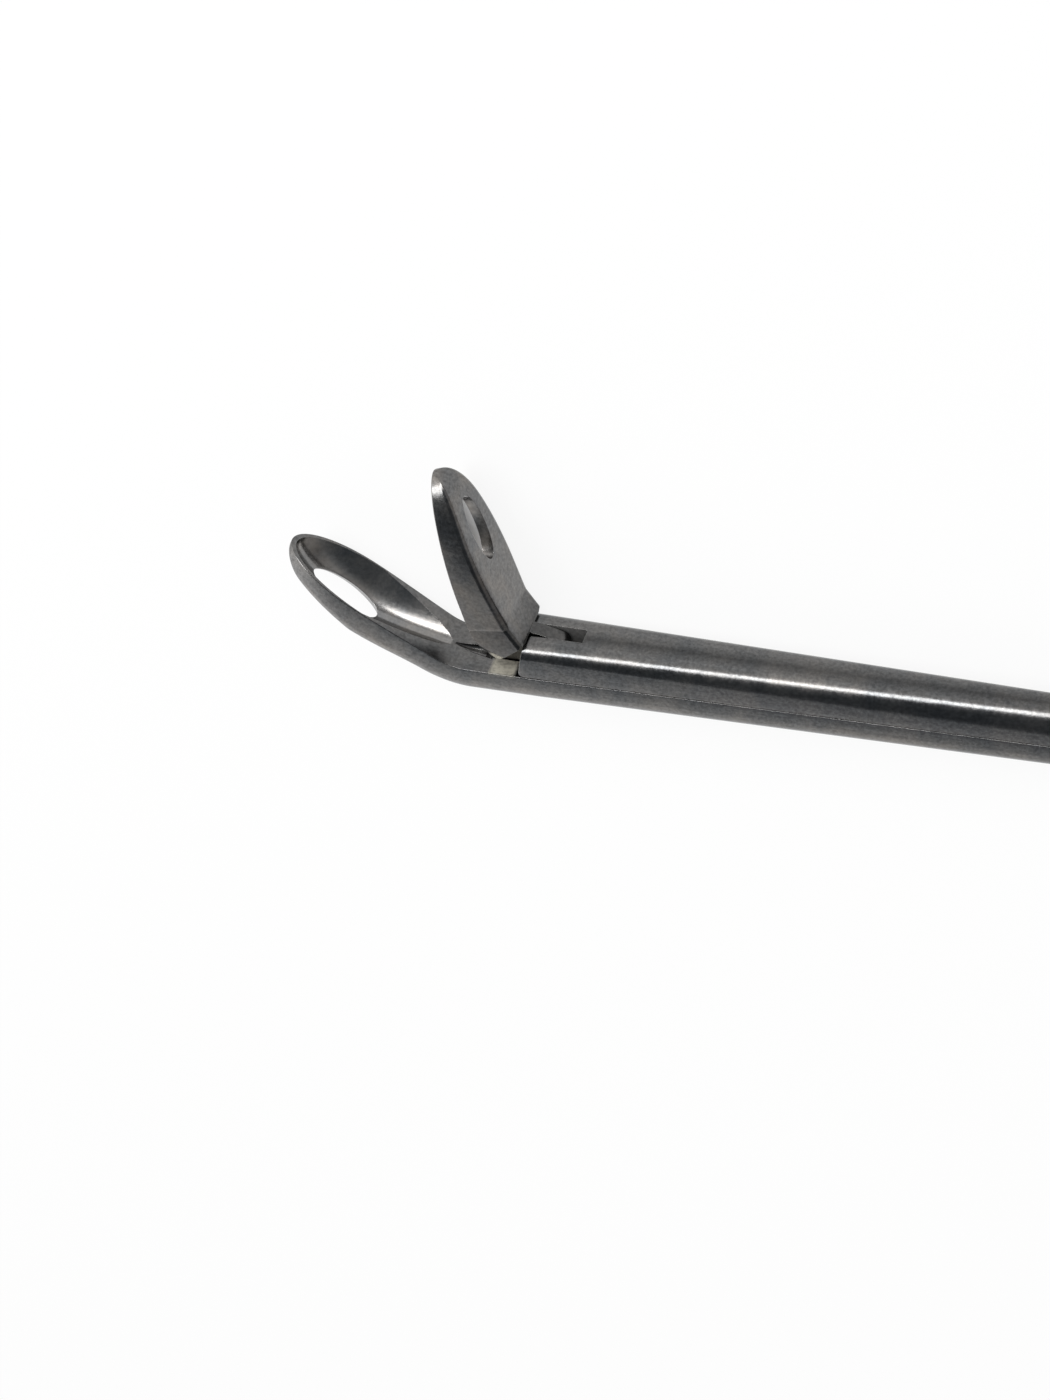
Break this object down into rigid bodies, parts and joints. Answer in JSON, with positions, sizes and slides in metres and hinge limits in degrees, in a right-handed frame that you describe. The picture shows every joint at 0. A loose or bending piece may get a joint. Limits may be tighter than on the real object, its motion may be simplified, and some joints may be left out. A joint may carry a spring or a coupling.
{
  "type": "cup-jaw forceps",
  "caption": "Hand forceps with up-turned windowed cup jaws, a slide bar running on a fixed bar, and ring handles. Squeezing the handles pushes the slide bar forward and closes the hinged jaw.",
  "frame": {"origin": "on the far flat side of the rear handle's box, which the part rests on when it lies on its side", "axes": "+X along the bars from the jaws to the handles, +Y toward the side that the jaws open to, +Z across the part, up when it lies on its side"},
  "size_m": [0.1854, 0.1088, 0.005],
  "materials": {
    "satin_steel": "satin",
    "polished_steel": "polished"
  },
  "bodies": {
    "fixed_side": {"fixed_bar": "satin_steel", "rear_handle": "satin_steel", "front_rivet": "satin_steel", "rear_rivet": "satin_steel", "front_guide_stud": "satin_steel", "rear_guide_stud": "satin_steel", "jaw_pivot_rivet": "polished_steel", "handle_pivot_screw": "polished_steel"},
    "front_handle_body": {"front_handle": "satin_steel"},
    "slide": {"slide_bar": "satin_steel", "jaw_link_pin": "polished_steel", "drive_pin": "polished_steel"},
    "jaw": {"upper_jaw": "satin_steel"}
  },
  "joints": [
    {"name": "front_handle_hinge", "type": "hinge", "parent": "fixed_side", "child": "front_handle_body", "pos_m": [-0.007, 0.0006, 0.0025], "axis": [0, 0, 1], "range_deg": [0, 16.52]},
    {"name": "slide_travel", "type": "slide", "parent": "fixed_side", "child": "slide", "axis": [-1, 0, 0], "range_m": [0, 0.0018]},
    {"name": "upper_jaw_hinge", "type": "hinge", "parent": "fixed_side", "child": "jaw", "pos_m": [-0.107, 0.005, 0.0025], "axis": [0, 0, 1], "range_deg": [0, 45.8]}
  ],
  "couplings": [
    {"joint": "slide_travel", "follows": "front_handle_hinge", "m_per_rad": 0.006193},
    {"joint": "upper_jaw_hinge", "follows": "front_handle_hinge", "ratio": 2.7694}
  ]
}
